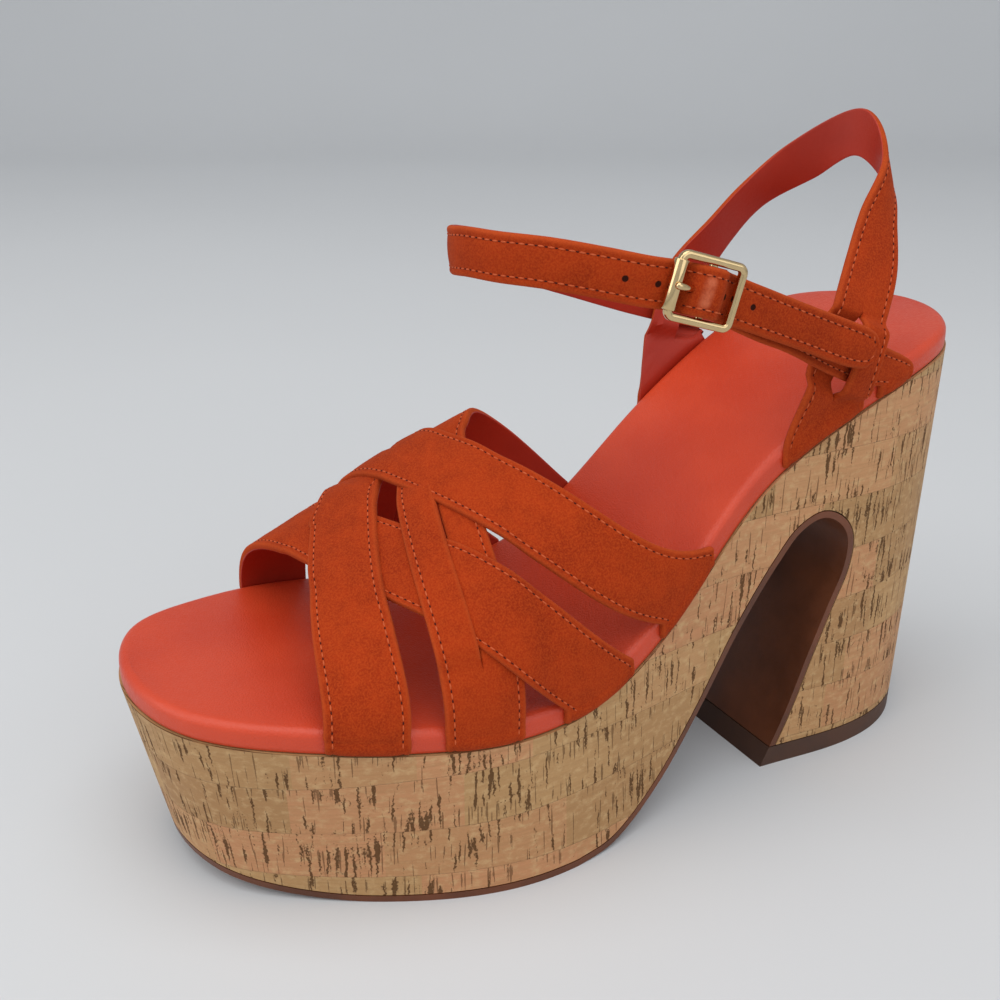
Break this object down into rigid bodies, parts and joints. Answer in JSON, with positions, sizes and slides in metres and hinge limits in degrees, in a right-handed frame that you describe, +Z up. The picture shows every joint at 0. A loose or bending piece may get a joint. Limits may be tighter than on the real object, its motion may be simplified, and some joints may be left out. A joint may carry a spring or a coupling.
{
  "type": "platform sandal",
  "caption": "Left platform sandal with a high block heel joined by an open arch, woven vamp straps, a back strap and a buckled ankle strap, standing on its sole.",
  "frame": {"origin": "on the floor under the middle of the whole sandal", "axes": "+Z up, toe towards -Y, heel towards +Y, outer side of the left foot towards +X"},
  "size_m": [0.0916, 0.22, 0.1627],
  "materials": {
    "cork": "matt cork sheet over the platform and heel",
    "insole": "smooth satin leather",
    "suede": "matt suede, smooth red lining",
    "sole": "satin dark brown",
    "gold": "polished pale gold"
  },
  "bodies": {
    "root": {"outsole": "sole", "heel_top_piece": "sole", "cork_unit": "cork", "insole": "insole", "vamp_straps": "suede", "back_strap": "suede", "ankle_strap": "suede", "buckle_strap": "suede", "buckle_frame": "gold", "buckle_roller": "gold", "buckle_prong": "gold"}
  },
  "joints": []
}
